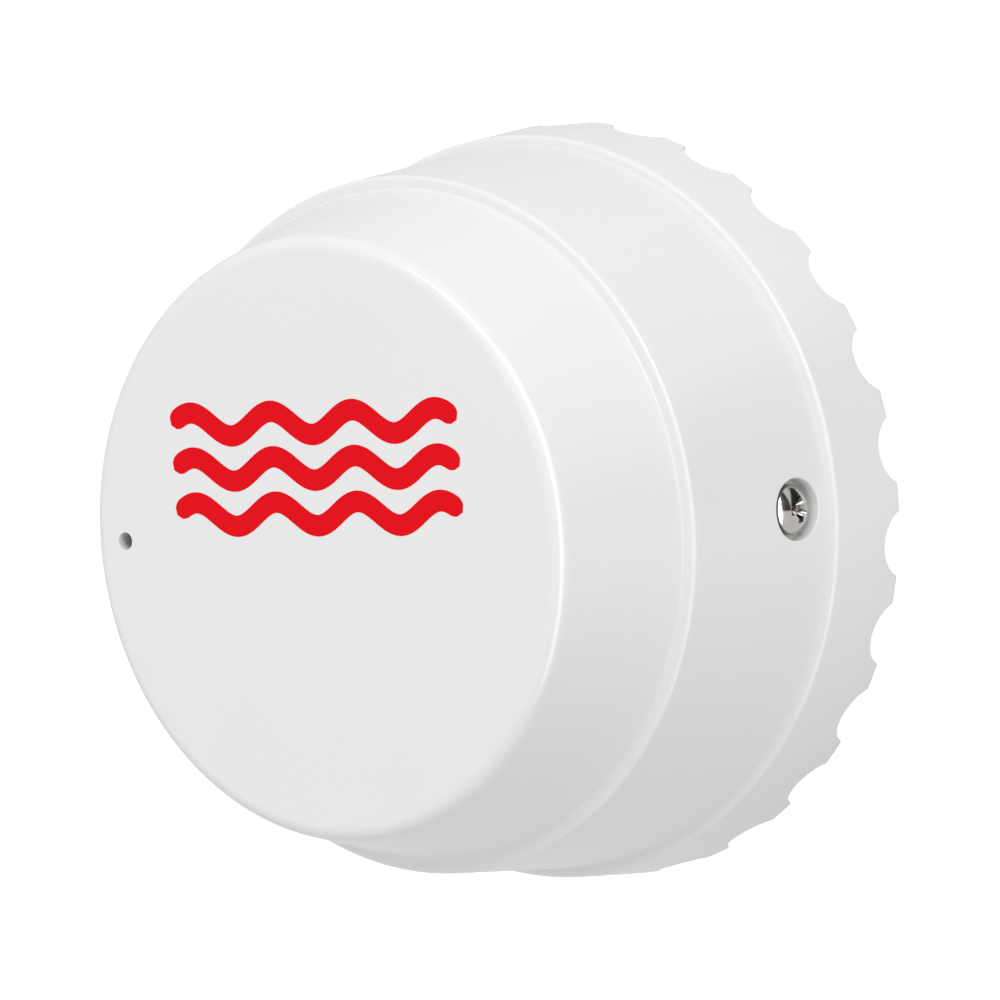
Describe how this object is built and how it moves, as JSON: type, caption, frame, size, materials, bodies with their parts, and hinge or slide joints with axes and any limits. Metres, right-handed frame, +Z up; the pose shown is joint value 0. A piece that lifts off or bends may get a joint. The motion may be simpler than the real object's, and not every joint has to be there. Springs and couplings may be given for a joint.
{
  "type": "water leak sensor",
  "caption": "Round stepped floor sensor with a scalloped base that lets spilled water reach probes underneath; side screws hold the dome cover over batteries and a radio board.",
  "frame": {"origin": "centre of the foot circle, on the floor", "axes": "+Z up through the front face, +X through the right-hand side screw, -X through the indicator pinhole"},
  "size_m": [0.066, 0.0658, 0.0366],
  "materials": {
    "white_shell": "satin moulded white",
    "seal_rubber": "matt",
    "stainless": "bright stainless",
    "brass": "turned",
    "tray_plastic": "matt moulded",
    "cell_can": "sleeved can",
    "contact_steel": "nickel plated",
    "board_green": "solder mask",
    "led_lens": "clear tinted",
    "black_plastic": "matt moulded",
    "capacitor_can": "drawn can"
  },
  "bodies": {
    "housing": {"top_cover": "white_shell", "base": "white_shell", "cover_seal": "seal_rubber", "screw_seals": "seal_rubber", "probe_screws": "stainless", "probe_seals": "seal_rubber", "probe_pillars": "brass", "battery_tray": "tray_plastic", "battery_left": "cell_can", "battery_right": "cell_can", "contact_spring_left": "contact_steel", "contact_spring_right": "contact_steel", "series_link": "contact_steel", "positive_terminal": "contact_steel", "negative_terminal": "contact_steel", "main_board": "board_green", "board_screws": "stainless", "status_led": "led_lens", "led_spacer": "tray_plastic", "sounder": "black_plastic", "radio_board": "board_green", "radio_shield": "contact_steel", "spring_antenna": "brass", "controller_chip": "black_plastic", "reservoir_capacitor": "capacitor_can", "pairing_switch": "black_plastic"},
    "right_screw": {"side_screw_right": "stainless"},
    "left_screw": {"side_screw_left": "stainless"},
    "button": {"pairing_button": "black_plastic"}
  },
  "joints": [
    {"name": "right_screw_withdraw", "type": "slide", "parent": "housing", "child": "right_screw", "axis": [1, 0, 0], "range_m": [0, 0.009]},
    {"name": "left_screw_withdraw", "type": "slide", "parent": "housing", "child": "left_screw", "axis": [-1, 0, 0], "range_m": [0, 0.009]},
    {"name": "pairing_button_press", "type": "slide", "parent": "housing", "child": "button", "axis": [0, 0, -1], "range_m": [0, 0.00025], "stiffness_N_per_m": 1000}
  ]
}
